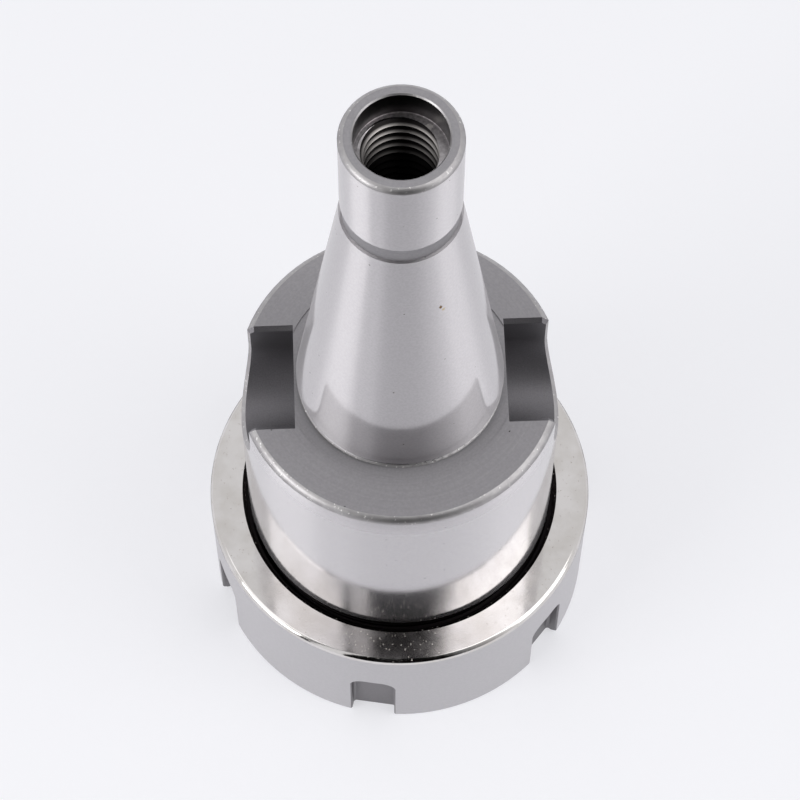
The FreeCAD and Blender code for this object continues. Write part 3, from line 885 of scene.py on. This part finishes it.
table = plane("table", 8.0, 8.0, (0, 0, 0))
paper = bpy.data.materials.new("white_paper")
paper.use_nodes = True
tree = paper.node_tree
tree.nodes.clear()
matt = add(tree, "ShaderNodeBsdfDiffuse", {"Color": linear("#bebec0")})
glow = add(tree, "ShaderNodeEmission", {"Color": linear("#fbfbff"), "Strength": 0.51})
off = add(tree, "ShaderNodeEmission", {"Strength": 0.0})
show = add(tree, "ShaderNodeMixShader", {0: seen_directly(tree), 1: off.outputs[0], 2: glow.outputs[0]})
both = add(tree, "ShaderNodeAddShader", {0: matt.outputs[0], 1: show.outputs[0]})
add(tree, "ShaderNodeOutputMaterial", {"Surface": both.outputs[0]})
table.data.materials.append(paper)
print("made", table.name)

# %% [markdown]
# A dark figure stands in front, which is whoever holds the camera. It's seen only in the steel:
# it darkens the middle of the polished ring and draws the taper's darker band.

# %% Dark figure in front
CARD_NEAR = 0.34
CARD_LEFT = -0.16
CARD_RIGHT = 0.42
CARD_TOP = 3.0
card_middle = ((CARD_LEFT + CARD_RIGHT) / 2, -CARD_NEAR, CARD_TOP / 2 + 0.01)
figure = plane("dark_figure", CARD_RIGHT - CARD_LEFT, CARD_TOP, card_middle, (0, 1, 0))
cloth = bpy.data.materials.new("dark_cloth")
cloth.use_nodes = True
tree = cloth.node_tree
tree.nodes.clear()
place = add(tree, "ShaderNodeTexCoord")
across = add(tree, "ShaderNodeSeparateXYZ", {0: place.outputs["Object"]})
# The figure's right side fades into the room, as a sleeve in half light does.
fade = add(tree, "ShaderNodeMapRange", {"Value": across.outputs["X"], 1: 0.11, 2: 0.36})
dark = add(tree, "ShaderNodeEmission", {"Color": linear("#0b0a0a"), "Strength": 1.0})
pale = add(tree, "ShaderNodeEmission", {"Color": linear("#f2f2f4"), "Strength": 0.9})
shown = add(tree, "ShaderNodeMixShader", {0: fade.outputs[0], 1: dark.outputs[0], 2: pale.outputs[0]})
add(tree, "ShaderNodeOutputMaterial", {"Surface": shown.outputs[0]})
figure.data.materials.append(cloth)
figure.visible_camera = False
figure.visible_diffuse = False
figure.visible_shadow = False
print("made", figure.name)

# %% [markdown]
# A lamp stand to the left of the figure is a thin upright line. The steel mirrors it faintly.

# %% Lamp stand
stand = plane("lamp_stand", 0.05, 2.0, (-0.29, -0.31, 1.0), (0.29, 0.31, 0))
paint_grey = bpy.data.materials.new("stand_paint")
paint_grey.use_nodes = True
tree = paint_grey.node_tree
tree.nodes.clear()
grey = add(tree, "ShaderNodeEmission", {"Color": linear("#2e2e30"), "Strength": 1.0})
add(tree, "ShaderNodeOutputMaterial", {"Surface": grey.outputs[0]})
stand.data.materials.append(paint_grey)
stand.visible_camera = False
stand.visible_diffuse = False
stand.visible_shadow = False
print("made", stand.name)

# %% [markdown]
# Two soft boxes stand low in front, to the left and the right. They make the bright lines on the
# nut's broken edge. Two more hang higher at the sides and light the flange face. The walls are
# white, and brighter where they're mirrored than as a source of light.

# %% Soft boxes and room


def soft_box(name, azimuth, elevation, distance, size, power):
    """A square lamp, placed by the direction it shines from, in degrees, 0 being straight in front."""
    turn, rise = math.radians(azimuth), math.radians(elevation)
    away = Vector((math.sin(turn) * math.cos(rise), -math.cos(turn) * math.cos(rise), math.sin(rise)))
    lamp = bpy.data.lights.new(name, "AREA")
    lamp.shape = "SQUARE"
    lamp.size = size
    lamp.energy = power
    thing = bpy.data.objects.new(name, lamp)
    thing.location = Vector((0, 0, flange_z)) + away * distance
    thing.rotation_euler = away.to_track_quat("Z", "Y").to_euler()
    bpy.context.scene.collection.objects.link(thing)
    return thing


soft_box("left_box", -62, 22, 0.9, 0.5, 2.6)
soft_box("right_box", 66, 22, 0.9, 0.5, 1.1)
soft_box("high_left_box", -84, 60, 1.0, 0.5, 0.5)
soft_box("high_right_box", 72, 60, 1.0, 0.6, 1.6)

room = bpy.data.worlds.new("white_room")
bpy.context.scene.world = room
room.use_nodes = True
tree = room.node_tree
tree.nodes.clear()
light = add(tree, "ShaderNodeBackground", {"Color": linear("#f2f3f6"), "Strength": 0.55})
wall = add(tree, "ShaderNodeBackground", {"Color": linear("#f6f6f8"), "Strength": 0.9})
path = seen_directly(tree)
mix = add(tree, "ShaderNodeMixShader", {0: path, 1: light.outputs[0], 2: wall.outputs[0]})
add(tree, "ShaderNodeOutputWorld", {"Surface": mix.outputs[0]})

# %% [markdown]
# ## Camera
#
# The picture is taken from the front and well above, with a long lens, so that the taper looks
# slender and the nut stays round. The camera is placed by its direction and distance from a point
# on the axis, just below the flange.

# %% Camera
TARGET = Vector((0, 0, 57.5 * MM))
TURN = math.radians(-2.4)
RISE = math.radians(64.13)
DISTANCE = 452 * MM
ROLL = math.radians(0.32)
away = Vector((math.sin(TURN) * math.cos(RISE), -math.cos(TURN) * math.cos(RISE), math.sin(RISE)))
lens = bpy.data.cameras.new("camera")
lens.sensor_width = 36.0
lens.lens = 130.1
lens.clip_start = 0.01
camera = bpy.data.objects.new("camera", lens)
camera.location = TARGET + away * DISTANCE
look = away.to_track_quat("Z", "Y").to_matrix().to_4x4()
camera.rotation_euler = (look @ Matrix.Rotation(ROLL, 4, "Z")).to_euler()
bpy.context.scene.collection.objects.link(camera)
bpy.context.scene.camera = camera
bpy.context.scene.view_settings.view_transform = "Standard"
print("camera at", [round(x / MM) for x in camera.location], "mm")
